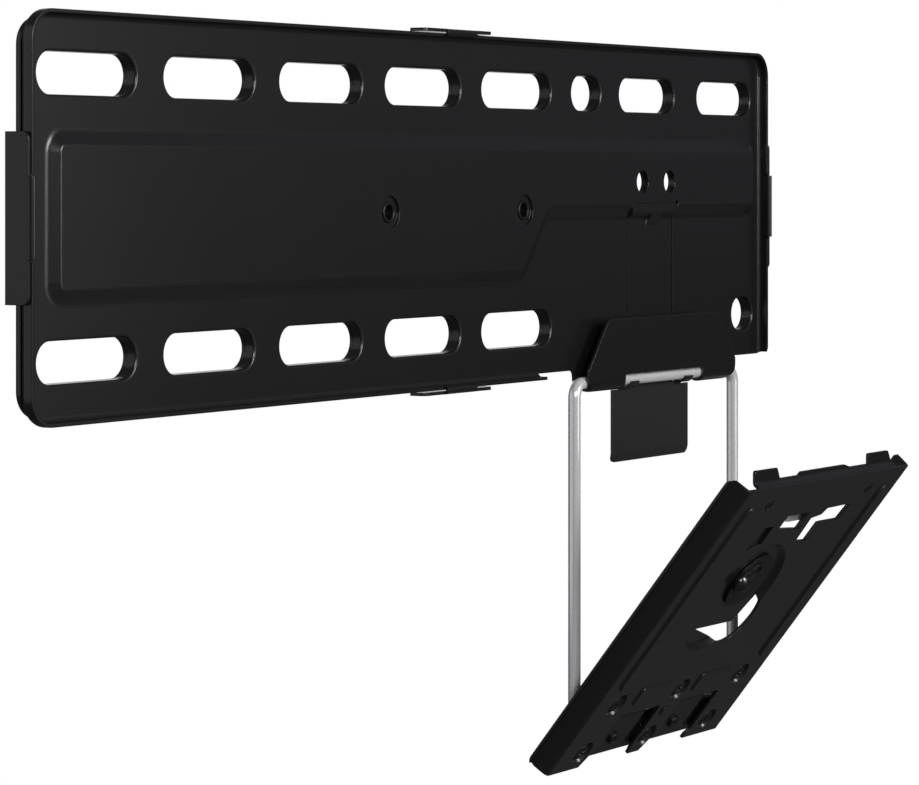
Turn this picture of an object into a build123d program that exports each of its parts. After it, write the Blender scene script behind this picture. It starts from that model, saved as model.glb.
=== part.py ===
from build123d import *
from math import asin, cos, radians, sin, tan
import os

os.makedirs("parts", exist_ok=True)

# Frame: origin on the wall face at the middle of the rear tray, X right as seen from the room,
# Y into the wall, Z up. Depths in the room direction are measured from the front tray's face.

# Sheet, bends and fits
sheet = 1.5
bend_inner = 2.0
bend_outer = bend_inner + sheet
running_fit = 0.05
curl_fit = 0.1
through = 40.0

# Front tray
tray_width = 606.0
tray_height = 160.0
tray_corner = 12.0
lip_depth = 5.0
half_width = tray_width / 2
half_height = tray_height / 2

# Plain part of the front tray's lower edge, which carries the hook
plain_corner = 4.0
plain_edge = -half_height + 2.7
hook_x = half_width - 118.0
hook_half = 74.5
plain_start = hook_x - hook_half - 33.5

# Rear tray, standing behind the front tray against the wall
rear_width = tray_width - 5.0
rear_height = tray_height - 5.6
rear_corner = 11.0
rear_rise = 4.0
tray_gap = 1.0
wall_depth = rear_rise + tray_gap + sheet
rear_face = -wall_depth + sheet

# Wall slots: centre, height and length, with a drawn collar round each
slot_height = 16.6
slot_row = half_height - 24.3
slot_first = -half_width + 40.0
slot_pitch = (plain_start - 19.2 - slot_first) / 4
slot_long = slot_pitch - 18.7
collar_wall = 1.2
collar_back = -rear_face - running_fit
long_slots = [(slot_first + slot_pitch * n, row, slot_long)
              for row in (slot_row, -slot_row) for n in range(5)]
short_slots = [(half_width - 181.0, slot_row, 27.5), (half_width - 121.0, slot_row, 55.0),
               (half_width - 40.0, slot_row, 57.6), (half_width - 20.0, -slot_row, 22.0)]
wall_slots = long_slots + short_slots

# Raised panel with a narrower right arm
panel_rise = 3.0
panel_run = 5.0
panel_corner = 3.0
panel_step_corner = 12.0
panel_crest_soft = 1.8
panel_root_soft = 5.0
panel_left = -half_width + 20.0
panel_right = half_width - 13.0
panel_half = slot_row - 27.5
panel_arm_low = 1.0
panel_step_top = plain_start + 4.5
panel_step_low = plain_start - 18.0
panel_points = [(panel_left, panel_half), (panel_right, panel_half), (panel_right, panel_arm_low),
                (panel_step_top, panel_arm_low), (panel_step_low, -panel_half),
                (panel_left, -panel_half)]

# Round holes and the dimples of the tie eyelets
peep_dia = 11.5
peep_height = 13.0
peep_at = (hook_x - 13.0, hook_x + 14.5)
peep_collar_wall = 1.2
peep_collar_back = 1.0
back_window_x = hook_x + 12.0
back_window_long = 60.0
back_window_high = 18.0
tie_at = (plain_start - 131.0, plain_start - 17.0)
tie_dimple_dia = 14.3
tie_dimple_deep = 1.2
tie_back_dia = 17.0
tie_shank_dia = 8.0
tie_bore_dia = 6.4
tie_flange_dia = 9.6
tie_flange_thick = 0.8
tie_spacer_dia = 10.4

# Tongue between two slits, with a steeper bevel and a pressed gusset
tongue_left = hook_x - 22.8
tongue_right = hook_x + 22.3
slit_left_wide = 0.6
slit_right_wide = 1.0
slit_top = 2.2
slit_low = plain_edge + 13.3
slit_relief_dia = 3.0
tongue_bevel_top = -2.6
tongue_bevel_low = -5.2
groove_wide = 0.4
groove_deep = 0.25
gusset_x = hook_x + 2.0
gusset_top_wide = 8.0
gusset_low_wide = 13.0
gusset_top = 1.0
gusset_low = -8.5

# Folded hook at the lower edge
hook_top_half = 55.6
hook_top = plain_edge + 24.1
hook_knee = plain_edge + 0.3
hook_inner = 3.5
hook_outer = hook_inner + sheet
hook_centre = plain_edge - 5.7
hook_low_corner = 8.0
hook_top_corner = 4.0
hook_edge_soft = 0.4
notch_shift = 1.0
notch_half = 40.3
notch_top = plain_edge - 3.2

# Folded T tabs: middle of each lip, outward direction, neck width, plate width, back edge
tab_gap = 0.6
tab_shoulder = 4.8
tab_corner = 3.0
tab_relief_wide = 0.8
tab_relief_deep = 2.5
tabs = (((0, half_height), (0, 1), 24.5, 58.0, -3.0),
        ((0, -half_height), (0, -1), 24.5, 58.0, -3.0),
        ((-half_width, 0), (-1, 0), 32.0, 66.0, -6.4),
        ((half_width, 0), (1, 0), 32.0, 66.0, -6.4))

# Wire bail
wire_dia = 6.0
wire_corner = 7.0
bail_half = 80.5
bail_drop = 161.5
wire_seat = 0.05
rod_depth = hook_inner
rod_height = hook_centre - (hook_inner - wire_dia / 2 - wire_seat)

# Latch flap
flap_sheet = 1.2
flap_half = 38.3
flap_top = hook_centre - 5.6
flap_low = hook_centre - 41.0
flap_tip = 4.0
flap_tip_angle = 12.0
flap_corner = 3.0
flap_neck_half = 22.4
flap_curl_end = 75.0
ear_centre = 27.5
ear_wide = 7.0
ear_end = 75.0
ear_bend = 1.1
flap_curl = wire_dia / 2 + curl_fit + flap_sheet / 2
flap_depth = rod_depth - flap_curl

# Tilting plate: x across, t up the plate from its lower edge, h back from its front face
tilt = radians(37.8)
plate_half = 86.5
plate_long = 178.5
head_line = plate_long - 27.0
hinge_t = 28.0
hinge_h = 6.5
flange_deep = 9.5
flange_flare = radians(12.0)
flange_lip = 2.9
flange_bend = 2.0
flange_end_round = 3.5
rib_low = 52.0
rib_top = plate_long - 10.5
rib_wide = 10.4
head_back = 4.15
head_base = 1.4
head_tab = 6.5
window_in = 10.2
window_out = 50.3
window_top = 33.0
well_x = -13.7
well_t = plate_long - 74.5
well_radius = 34.0
well_deep = 2.5
well_soft = 1.2

# Hinge at the lower edge of the tilting plate
leaf_sheet = 1.5
leaf_curl = wire_dia / 2 + curl_fit + leaf_sheet / 2
leaf_low = 5.0
leaf_wrap = 250.0
stack_h = hinge_h - wire_dia / 2 - curl_fit
dimple_deep = stack_h - sheet
dimple_dia = 14.0
dimple_back_dia = 17.0
dimple_at = [(x, t) for x in (-63.0, 0.0, 63.0) for t in (10.5, 41.5)]
back_half = 72.0
back_bulge = 12.2
leaves = ((-50.0, -18.7, -36.0), (11.0, 42.0, 25.0))
leaf_screw_t = 14.4
screw_dia = 4.0
screw_head_dia = 9.0
screw_head_high = 1.5
leaf_screw_head_dia = 7.0
nut_across = 7.0
nut_thick = 3.0

# Head end: stiffener, rivets and latch spring
stiff_thick = 1.2
stiff_half = 60.0
stiff_low = head_line - 25.5
stiff_top = head_line + 21.5
rivet_at = ((-53.7, head_line + 15.8), (53.7, head_line + 15.8))
rivet_dia = 6.0
spring_thick = 0.5
spring_wide = 5.0

# Turn knob with its raised loop, stud, rivet and cam
knob_x = well_x + 4.7
knob_t = well_t + 9.5
knob_radius = 16.0
knob_low = 2.1
knob_rim = 0.9
knob_rise = 0.3
loop_x = knob_x - 6.4
loop_t = knob_t + 3.6
loop_angle = 37.0
loop_long = 20.0
loop_wide = 9.0
loop_wall = 1.2
loop_high = 0.8
stud_x = loop_x - cos(radians(loop_angle)) * (loop_long - loop_wide) / 2
stud_t = loop_t - sin(radians(loop_angle)) * (loop_long - loop_wide) / 2
stud_shank_dia = 4.0
stud_head_dia = 10.4
stud_head_rise = 3.8
pivot_dia = 4.0
washer_radius = 10.0
washer_thick = 0.3
cam_radius = 9.0
cam_shift = 3.0
cam_thick = 2.0
clip_radius = 4.6
clip_thick = 0.8


def wall_plane(depth):
    """Plane parallel to the wall at a depth in front of the front tray's face, x right, y up."""
    return Plane(origin=(0, -(wall_depth + depth), 0), x_dir=(1, 0, 0), z_dir=(0, -1, 0))


def side_plane(x):
    """Plane across the bracket at x: its own x is the depth towards the room, its y is up."""
    return Plane(origin=(x, -wall_depth, 0), x_dir=(0, -1, 0), z_dir=(-1, 0, 0))


plate_up = Vector(0, -sin(tilt), cos(tilt))
plate_front = Vector(0, -cos(tilt), -sin(tilt))
lower_rod = Vector(hook_x, -(wall_depth + rod_depth), rod_height - bail_drop)
plate_foot = lower_rod - plate_up * hinge_t + plate_front * hinge_h


def plate_point(x, t, h):
    """World position of a point given in the tilting plate's own x, t and h."""
    return plate_foot + Vector(x, 0, 0) + plate_up * t - plate_front * h


def plate_plane(h):
    """Plane of the tilting plate at depth h: its own x is x, its y is t, it extrudes forward."""
    return Plane(origin=plate_point(0, 0, h), x_dir=(1, 0, 0), z_dir=plate_front)


def plate_section(x):
    """Plane across the tilting plate at x: its own x is t and its y is h."""
    return Plane(origin=plate_point(x, 0, 0), x_dir=plate_up, z_dir=(-1, 0, 0))


def plate_cross(x, t):
    """Plane square to the length of the tilting plate: its own x is x and its y is h."""
    return Plane(origin=plate_point(x, t, 0), x_dir=(1, 0, 0), z_dir=plate_up)


def near(value, target, within=0.05):
    """True when a value lies within a small distance of its target."""
    return abs(value - target) < within


def bent_strip(plane, points, radius, thick, left, right):
    """Sheet bent along a mid-line through the points, between two distances from the plane."""
    with BuildPart() as piece:
        with BuildSketch(plane):
            with BuildLine():
                FilletPolyline(*points, radius=radius)
            trace(line_width=thick)
        extrude(amount=(right - left) / 2, both=True)
    return piece.part


def dome_points(radius, base, rise):
    """Rim, middle and top of a spherical dome that rises in front of its base."""
    sphere = (radius ** 2 + rise ** 2) / (2 * rise)
    half_angle = asin(radius / sphere) / 2
    middle = (sphere * sin(half_angle), base - rise + sphere * (1 - cos(half_angle)))
    return (radius, base), middle, (0, base - rise)


def panel_face(grow):
    """Outline of the raised panel, grown outwards by a distance."""
    with BuildSketch() as outline:
        with BuildLine():
            Polyline(*panel_points, close=True)
        make_face()
        step = vertices().sort_by_distance((panel_step_top, panel_arm_low))[0]
        fillet(step, panel_step_corner)
        convex = [v for v in vertices() if any(near(v.X, x) and near(v.Y, y)
                                               for x, y in panel_points)]
        fillet(convex, panel_corner)
        if grow:
            offset(amount=grow, kind=Kind.ARC, mode=Mode.REPLACE)
    return outline.sketch


def slot_faces(grow):
    """All wall slots as one sketch, grown outwards by a distance."""
    with BuildSketch() as faces_:
        for x, z, length in wall_slots:
            with Locations((x, z)):
                SlotOverall(length + 2 * grow, slot_height + 2 * grow)
    return faces_.sketch


# Folded hook: J section, trimmed to its outline and notched round the latch flap
with BuildPart() as hook:
    with BuildSketch(side_plane(hook_x)):
        with BuildLine():
            Line((-sheet, plain_edge + 1), (-sheet, hook_centre))
            CenterArc((rod_depth, hook_centre), hook_outer, 180, 180)
            Line((hook_outer + rod_depth, hook_centre), (hook_outer + rod_depth, hook_top))
            Line((hook_outer + rod_depth, hook_top), (hook_inner + rod_depth, hook_top))
            Line((hook_inner + rod_depth, hook_top), (hook_inner + rod_depth, hook_centre))
            CenterArc((rod_depth, hook_centre), hook_inner, 180, 180)
            Line((0, hook_centre), (0, plain_edge + 1))
            Line((0, plain_edge + 1), (-sheet, plain_edge + 1))
        make_face()
    extrude(amount=hook_half, both=True)
    with BuildSketch(wall_plane(-sheet - 1)):
        with BuildLine():
            Polyline((hook_x - hook_top_half, hook_top), (hook_x + hook_top_half, hook_top),
                     (hook_x + hook_half, hook_knee), (hook_x + hook_half, hook_centre - hook_outer),
                     (hook_x - hook_half, hook_centre - hook_outer),
                     (hook_x - hook_half, hook_knee), close=True)
        make_face()
        fillet(vertices().group_by(Axis.Y)[-1], hook_top_corner)
        fillet(vertices().group_by(Axis.Y)[0], hook_low_corner)
    extrude(amount=through, mode=Mode.INTERSECT)
    with BuildSketch(wall_plane(-sheet - 1)):
        with Locations((hook_x + notch_shift, notch_top - 10)):
            Rectangle(2 * notch_half, 20)
    extrude(amount=through, mode=Mode.SUBTRACT)
    front_wall = hook.faces().sort_by(Axis.Y)[0]
    fillet([e for e in front_wall.edges() if e.center().Z > hook_knee], hook_edge_soft)

# Gusset pressed across the tongue's bevel
with BuildPart() as gusset:
    with BuildSketch(side_plane(gusset_x)):
        with BuildLine():
            Polyline((-sheet / 2, gusset_top), (panel_rise, gusset_top),
                     (panel_rise, tongue_bevel_top), (0, gusset_low), (-sheet / 2, gusset_low),
                     close=True)
        make_face()
    extrude(amount=gusset_low_wide, both=True)
    with BuildSketch(wall_plane(-sheet)):
        with BuildLine():
            Polyline((gusset_x - gusset_top_wide / 2, gusset_top),
                     (gusset_x + gusset_top_wide / 2, gusset_top),
                     (gusset_x + gusset_low_wide / 2, gusset_low),
                     (gusset_x - gusset_low_wide / 2, gusset_low), close=True)
        make_face()
    extrude(amount=through, mode=Mode.INTERSECT)

# Front tray: pan with a lip all round except along the plain right part of its lower edge
with BuildPart() as front_tray:
    with BuildSketch(wall_plane(-sheet)):
        Rectangle(tray_width, tray_height)
        fillet(vertices().group_by(Axis.X)[0], tray_corner)
        fillet(vertices().sort_by_distance((half_width, half_height))[0], tray_corner)
    extrude(amount=sheet + lip_depth)
    fillet(front_tray.faces().sort_by(Axis.Y)[-1].edges(), bend_outer)
    with BuildSketch(wall_plane(0)):
        Rectangle(tray_width - 2 * sheet, tray_height - 2 * sheet)
        fillet(vertices().group_by(Axis.X)[0], tray_corner - sheet)
        fillet(vertices().sort_by_distance((half_width, half_height))[0], tray_corner - sheet)
    extrude(amount=through, mode=Mode.SUBTRACT)
    floor = front_tray.faces().filter_by(Axis.Y).sort_by(SortBy.AREA)[-2:].sort_by(Axis.Y)[0]
    fillet(floor.edges(), bend_inner)
    plain_end = half_width - bend_outer - 0.5
    with BuildSketch(wall_plane(-sheet)):
        with Locations(((plain_start + plain_end) / 2, -half_height)):
            Rectangle(plain_end - plain_start, 2 * (bend_outer + 0.1))
    extrude(amount=through, mode=Mode.SUBTRACT)
    with BuildSketch(wall_plane(-sheet)):
        with Locations((half_width, plain_edge - 5)):
            Rectangle(20, 10)
    extrude(amount=through, mode=Mode.SUBTRACT)
    with BuildSketch(wall_plane(-sheet)):
        with Locations(((plain_start + plain_end) / 2, plain_edge + 5)):
            Rectangle(plain_end - plain_start, 10)
    extrude(amount=sheet)
    with BuildSketch(wall_plane(-sheet)):
        with Locations((half_width - plain_corner / 2, plain_edge + plain_corner / 2)):
            Rectangle(plain_corner, plain_corner)
        with Locations((half_width - plain_corner, plain_edge + plain_corner)):
            Circle(plain_corner, mode=Mode.SUBTRACT)
    extrude(amount=through, mode=Mode.SUBTRACT)

    # Raised panel, rounded along both edges of its bevel
    with BuildSketch(wall_plane(0)):
        add(panel_face(panel_run))
    with BuildSketch(wall_plane(panel_rise)):
        add(panel_face(0))
    loft(ruled=True)
    crest = front_tray.faces().filter_by(Axis.Y).filter_by(
        lambda f: near(f.center().Y, -(wall_depth + panel_rise)))[0]
    fillet(crest.edges(), panel_crest_soft)
    root_edges = front_tray.faces().filter_by(Axis.Y).filter_by(
        lambda f: near(f.center().Y, -wall_depth)).sort_by(SortBy.AREA)[-1].inner_wires()[0]
    fillet(root_edges.edges(), panel_root_soft)
    panel_inset = sheet * tan(0.5 * (radians(90) - radians(59.04)))
    with BuildSketch(wall_plane(-sheet)):
        add(panel_face(panel_run - panel_inset))
    with BuildSketch(wall_plane(panel_rise - sheet)):
        add(panel_face(-panel_inset))
    loft(ruled=True, mode=Mode.SUBTRACT)

    # Tongue: flush block between the slits, hollow behind
    with BuildSketch(side_plane((tongue_left + tongue_right) / 2)):
        with BuildLine():
            Polyline((-sheet / 2, tongue_bevel_low), (0, tongue_bevel_low),
                     (panel_rise, tongue_bevel_top), (panel_rise, panel_arm_low + 3),
                     (-sheet / 2, panel_arm_low + 3), close=True)
        make_face()
        fillet(vertices().sort_by_distance((panel_rise, tongue_bevel_top))[0], 1.6)
    extrude(amount=(tongue_right - tongue_left) / 2, both=True)
    tongue_inset = 0.7
    with BuildSketch(side_plane((tongue_left + tongue_right) / 2)):
        with BuildLine():
            Polyline((-sheet - 1, tongue_bevel_low + tongue_inset),
                     (-sheet, tongue_bevel_low + tongue_inset),
                     (panel_rise - sheet, tongue_bevel_top + tongue_inset),
                     (panel_rise - sheet, panel_arm_low + 3), (-sheet - 1, panel_arm_low + 3),
                     close=True)
        make_face()
    extrude(amount=(tongue_right - tongue_left) / 2, both=True, mode=Mode.SUBTRACT)
    add(gusset.part)

    # Slits, relief hole and bend groove
    for slit_x, slit_wide in ((tongue_left, slit_left_wide), (tongue_right, slit_right_wide)):
        with BuildSketch(wall_plane(-through / 2)):
            with Locations((slit_x, (slit_top + slit_low) / 2)):
                Rectangle(slit_wide, slit_top - slit_low)
        extrude(amount=through, mode=Mode.SUBTRACT)
    with BuildSketch(wall_plane(-through / 2)):
        with Locations((tongue_right, slit_top)):
            Circle(slit_relief_dia / 2)
    extrude(amount=through, mode=Mode.SUBTRACT)
    with BuildSketch(wall_plane(panel_rise - groove_deep)):
        with Locations(((tongue_left + tongue_right) / 2, slit_top)):
            Rectangle(tongue_right - tongue_left, groove_wide)
    extrude(amount=1, mode=Mode.SUBTRACT)

    # Slots with drawn collars, each with a rounded rim
    with BuildSketch(wall_plane(-collar_back)):
        add(slot_faces(collar_wall))
    extrude(amount=collar_back)
    with BuildSketch(wall_plane(-collar_back)):
        add(slot_faces(0))
    extrude(amount=through, mode=Mode.SUBTRACT)
    rims = [e for e in front_tray.edges()
            if near(e.center().Y, -wall_depth, 0.001)
            and near(abs(e.center().Z), slot_row, slot_height / 2 + 0.2)
            and e.bounding_box().size.Y < 0.001 and abs(e.center().X) < half_width - 5]
    fillet(rims, collar_wall - 0.05)

    # Round holes with drawn collars, and the dimples that take the tie eyelets
    with BuildSketch(wall_plane(-peep_collar_back)):
        with Locations(*[(x, peep_height) for x in peep_at]):
            Circle(peep_dia / 2 + peep_collar_wall)
    extrude(amount=peep_collar_back + panel_rise - sheet / 2)
    with BuildSketch(wall_plane(-through / 2)):
        with Locations(*[(x, peep_height) for x in peep_at]):
            Circle(peep_dia / 2)
    extrude(amount=through, mode=Mode.SUBTRACT)
    with BuildSketch(wall_plane(panel_rise - sheet - tie_dimple_deep)):
        with Locations(*[(x, 0) for x in tie_at]):
            Circle(tie_back_dia / 2)
    extrude(amount=sheet)
    with BuildSketch(wall_plane(panel_rise - tie_dimple_deep)):
        with Locations(*[(x, 0) for x in tie_at]):
            Circle(tie_dimple_dia / 2)
    extrude(amount=through, mode=Mode.SUBTRACT)
    with BuildSketch(wall_plane(-through / 2)):
        with Locations(*[(x, 0) for x in tie_at]):
            Circle(tie_shank_dia / 2 + running_fit)
    extrude(amount=through, mode=Mode.SUBTRACT)

    # T tabs folded back over the lip, with relief notches beside their necks
    for (edge_x, edge_z), (out_x, out_z), neck, wide, back_edge in tabs:
        with BuildSketch(Plane(origin=(edge_x, -wall_depth, edge_z), x_dir=(out_x, 0, out_z),
                               z_dir=(out_z, 0, -out_x))):
            with BuildLine():
                Line((-sheet / 2, lip_depth - 1), (-sheet / 2, lip_depth))
                ThreePointArc((-sheet / 2, lip_depth),
                              (tab_gap / 2, lip_depth + (sheet + tab_gap) / 2),
                              (tab_gap + sheet / 2, lip_depth))
                Line((tab_gap + sheet / 2, lip_depth), (tab_gap + sheet / 2, tab_shoulder - 1))
            trace(line_width=sheet)
        extrude(amount=neck / 2, both=True)
        with BuildSketch(Plane(origin=(edge_x + out_x * tab_gap, -wall_depth,
                                       edge_z + out_z * tab_gap),
                               x_dir=(-out_z, 0, out_x), z_dir=(out_x, 0, out_z))):
            with Locations((0, (tab_shoulder + back_edge) / 2)):
                Rectangle(wide, tab_shoulder - back_edge)
            fillet(vertices().group_by(Axis.Y)[-1], tab_corner)
        extrude(amount=sheet)
        with BuildSketch(Plane(origin=(edge_x - out_x * (sheet + 0.01), -wall_depth,
                                       edge_z - out_z * (sheet + 0.01)),
                               x_dir=(-out_z, 0, out_x), z_dir=(out_x, 0, out_z))):
            for side in (-1, 1):
                with Locations((side * (neck + tab_relief_wide) / 2,
                                lip_depth - tab_relief_deep / 2)):
                    Rectangle(tab_relief_wide, tab_relief_deep)
        extrude(amount=sheet + 0.02, mode=Mode.SUBTRACT)

    # Hook joined to the plain lower edge with rounded inside corners
    add(hook.part)
    inner_corners = [e for e in front_tray.edges().filter_by(Axis.Y)
                     if near(e.center().Z, plain_edge)
                     and near(abs(e.center().X - hook_x), hook_half)]
    fillet(inner_corners, 3.0)

# Rear tray: shallow pan with the same slots and holes
with BuildPart() as rear_tray:
    with BuildSketch(wall_plane(-wall_depth)):
        RectangleRounded(rear_width, rear_height, rear_corner)
    extrude(amount=rear_rise)
    fillet(rear_tray.faces().sort_by(Axis.Y)[-1].edges(), bend_outer - 0.5)
    with BuildSketch(wall_plane(rear_face)):
        RectangleRounded(rear_width - 2 * sheet, rear_height - 2 * sheet, rear_corner - sheet)
    extrude(amount=through, mode=Mode.SUBTRACT)
    rear_floor = rear_tray.faces().filter_by(Axis.Y).sort_by(SortBy.AREA)[-2:].sort_by(Axis.Y)[0]
    fillet(rear_floor.edges(), bend_inner - 0.5)
    with BuildSketch(wall_plane(-through / 2)):
        add(slot_faces(0))
        with Locations((back_window_x, peep_height)):
            SlotOverall(back_window_long, back_window_high)
        with Locations(*[(x, 0) for x in tie_at]):
            Circle(tie_shank_dia / 2 + running_fit)
    extrude(amount=through, mode=Mode.SUBTRACT)

# Tie eyelets: tubular rivets with a shoulder that keeps the trays apart
with BuildPart() as tie_eyelets:
    with BuildSketch(wall_plane(-wall_depth)):
        with Locations(*[(x, 0) for x in tie_at]):
            Circle(tie_shank_dia / 2)
    extrude(amount=wall_depth + panel_rise - tie_dimple_deep)
    with BuildSketch(wall_plane(panel_rise - tie_dimple_deep)):
        with Locations(*[(x, 0) for x in tie_at]):
            Circle(tie_flange_dia / 2)
    extrude(amount=tie_flange_thick)
    with BuildSketch(wall_plane(rear_face)):
        with Locations(*[(x, 0) for x in tie_at]):
            Circle(tie_spacer_dia / 2)
    extrude(amount=panel_rise - sheet - tie_dimple_deep - rear_face)
    with BuildSketch(wall_plane(-through / 2)):
        with Locations(*[(x, 0) for x in tie_at]):
            Circle(tie_bore_dia / 2)
    extrude(amount=through, mode=Mode.SUBTRACT)
    flange_rims = tie_eyelets.edges().filter_by(GeomType.CIRCLE).group_by(Axis.Y)[0]
    fillet(flange_rims, 0.3)

# Wire bail: one closed loop of round wire
with BuildPart() as bail_wire:
    with BuildLine(wall_plane(rod_depth)) as loop:
        FilletPolyline((hook_x + bail_half, rod_height),
                       (hook_x + bail_half, rod_height - bail_drop),
                       (hook_x - bail_half, rod_height - bail_drop),
                       (hook_x - bail_half, rod_height), radius=wire_corner, close=True)
    with BuildSketch(Plane(origin=loop.line @ 0, z_dir=loop.line % 0)):
        Circle(wire_dia / 2)
    sweep(path=loop.wires()[0])

# Latch flap: neck curled over the upper bar, two ears curled under it
with BuildPart() as latch_flap:
    tip_in = sin(radians(flap_tip_angle)) * flap_tip
    tip_down = cos(radians(flap_tip_angle)) * flap_tip
    with BuildSketch(side_plane(hook_x)):
        with BuildLine():
            FilletPolyline((flap_depth, flap_top), (flap_depth, flap_low + tip_down),
                           (flap_depth - tip_in, flap_low), radius=4.0)
        trace(line_width=flap_sheet)
    extrude(amount=flap_half, both=True)
    corner_edges = latch_flap.edges().filter_by(
        lambda e: e.length < 2 * flap_sheet and near(abs(e.center().X - hook_x), flap_half))
    fillet(corner_edges.group_by(Axis.Z)[0], flap_corner)
    with BuildSketch(side_plane(hook_x)):
        with BuildLine():
            Line((flap_depth, flap_top - 1), (flap_depth, rod_height))
            CenterArc((rod_depth, rod_height), flap_curl, 180, flap_curl_end - 180)
        trace(line_width=flap_sheet)
    extrude(amount=flap_neck_half, both=True)
    for ear_side in (-1, 1):
        with BuildSketch(side_plane(hook_x + ear_side * ear_centre)):
            with BuildLine():
                FilletPolyline((flap_depth, flap_top - 1), (flap_depth, rod_height - flap_curl),
                               (rod_depth, rod_height - flap_curl), radius=ear_bend)
                CenterArc((rod_depth, rod_height), flap_curl, 270, ear_end)
            trace(line_width=flap_sheet)
        extrude(amount=ear_wide / 2, both=True)

# Knuckle leaves, curled round the lower bar
knuckle_parts = []
for leaf_left, leaf_right, screw_x in leaves:
    with BuildPart() as knuckle:
        with BuildSketch(plate_section((leaf_left + leaf_right) / 2)):
            with BuildLine():
                Line((leaf_low, hinge_h - leaf_curl), (hinge_t, hinge_h - leaf_curl))
                CenterArc((hinge_t, hinge_h), leaf_curl, -90, leaf_wrap)
            trace(line_width=leaf_sheet)
        extrude(amount=(leaf_right - leaf_left) / 2, both=True)
        with BuildSketch(plate_plane(through / 2)):
            with Locations((screw_x, leaf_screw_t)):
                Circle(screw_dia / 2 + running_fit)
        extrude(amount=through, mode=Mode.SUBTRACT)
    knuckle_parts.append(knuckle)
knuckle_left, knuckle_right = knuckle_parts

# Hinge back plate: strip behind the lower edge that bulges over the lower bar
back_mid = stack_h + sheet / 2
back_strip = bent_strip(plate_section(0),
                        [(hinge_t - 26.0, back_mid), (hinge_t - 8.4, back_mid),
                         (hinge_t - 6.4, back_bulge), (hinge_t + 6.4, back_bulge),
                         (hinge_t + 8.4, back_mid), (hinge_t + 22.0, back_mid)],
                        1.8, sheet, -back_half, back_half)
with BuildPart() as hinge_backplate:
    add(back_strip)
    with BuildSketch(plate_plane(through / 2)):
        with Locations(*dimple_at, *[(s, leaf_screw_t) for _, _, s in leaves]):
            Circle(screw_dia / 2 + running_fit)
    extrude(amount=through, mode=Mode.SUBTRACT)

# Screws of the dimples, and screws and nuts of the knuckles
with BuildPart() as plate_screws:
    with BuildSketch(plate_plane(stack_h + sheet + 1.2)):
        with Locations(*dimple_at):
            Circle(screw_dia / 2)
    extrude(amount=stack_h + sheet + 1.2 - dimple_deep)
    with BuildSketch(plate_plane(dimple_deep)):
        with Locations(*dimple_at):
            Circle(screw_head_dia / 2)
    extrude(amount=screw_head_high)
    fillet(plate_screws.faces().filter_by(GeomType.PLANE).group_by(
        lambda f: round((f.center() - plate_foot).dot(plate_front), 2))[-1].edges(), 0.6)
    with BuildSketch(plate_plane(dimple_deep - screw_head_high + 0.8)):
        for x, t in dimple_at:
            with Locations((x, t)):
                Rectangle(4.6, 0.9, rotation=30)
                Rectangle(0.9, 4.6, rotation=30)
    extrude(amount=2, mode=Mode.SUBTRACT)

leaf_front = hinge_h - leaf_curl - leaf_sheet / 2
with BuildPart() as knuckle_screws:
    with BuildSketch(plate_plane(stack_h + sheet + nut_thick + 0.8)):
        with Locations(*[(s, leaf_screw_t) for _, _, s in leaves]):
            Circle(screw_dia / 2)
    extrude(amount=stack_h + sheet + nut_thick + 0.8 - leaf_front)
    with BuildSketch(plate_plane(leaf_front)):
        with Locations(*[(s, leaf_screw_t) for _, _, s in leaves]):
            Circle(leaf_screw_head_dia / 2)
    extrude(amount=1.7)
    fillet(knuckle_screws.faces().filter_by(GeomType.PLANE).group_by(
        lambda f: round((f.center() - plate_foot).dot(plate_front), 2))[-1].edges(), 0.8)
    with BuildSketch(plate_plane(leaf_front - 0.9)):
        for _, _, s in leaves:
            with Locations((s, leaf_screw_t)):
                Rectangle(3.8, 0.8, rotation=15)
                Rectangle(0.8, 3.8, rotation=15)
    extrude(amount=2, mode=Mode.SUBTRACT)

with BuildPart() as knuckle_nuts:
    with BuildSketch(plate_plane(stack_h + sheet + nut_thick)):
        with Locations(*[(s, leaf_screw_t) for _, _, s in leaves]):
            RegularPolygon(nut_across / 2, 6, major_radius=False)
    extrude(amount=nut_thick)
    with BuildSketch(plate_plane(through / 2)):
        with Locations(*[(s, leaf_screw_t) for _, _, s in leaves]):
            Circle(screw_dia / 2 + running_fit)
    extrude(amount=through, mode=Mode.SUBTRACT)

# Head openings of the tilting plate and the stiffener, each point's height from the head line
left_window = [(-43.5, -16.2), (-43.5, -8.5), (-40.0, -8.5), (-40.0, -0.1), (-30.2, 0.0),
               (-30.2, -11.7)]
mid_window = [(-21.8, 5.5), (1.8, 5.5), (1.4, -5.3), (-8.0, -4.3), (-22.0, -3.0)]
right_window = [(19.9, 6.2), (45.9, 6.7), (43.4, -3.6), (23.6, -3.5), (22.9, -15.2),
                (9.6, -14.4), (8.3, 1.0), (17.6, 2.4)]
stiff_window = [(17.0, 7.9), (48.0, 8.1), (46.0, -5.1), (24.8, -5.1), (24.6, -17.5),
                (8.0, -17.5), (6.6, 2.7), (16.4, 3.9)]

# Openings at the lower edge of the tilting plate and beside its well
lower_windows = ([(-57.0, -1.0), (-52.0, 10.0), (-window_out, 13.0), (-window_out, window_top),
                  (-window_in, window_top), (-window_in, 5.0), (-8.0, -1.0)],
                 [(2.4, -1.0), (8.6, 11.5), (window_in, 14.0), (window_in, window_top),
                  (window_out, window_top), (window_out, 5.5), (48.0, 3.0), (48.0, -1.0)])
crescent_tip = (-29.0, well_t - 20.6)
crescent_corner = (10.0, well_t - 20.7)
crescent_top = (15.6, well_t - 3.0)
crescent_middle = (23.0, well_t - 16.0)
crescent_low = (3.1, well_t - 31.6)

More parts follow.
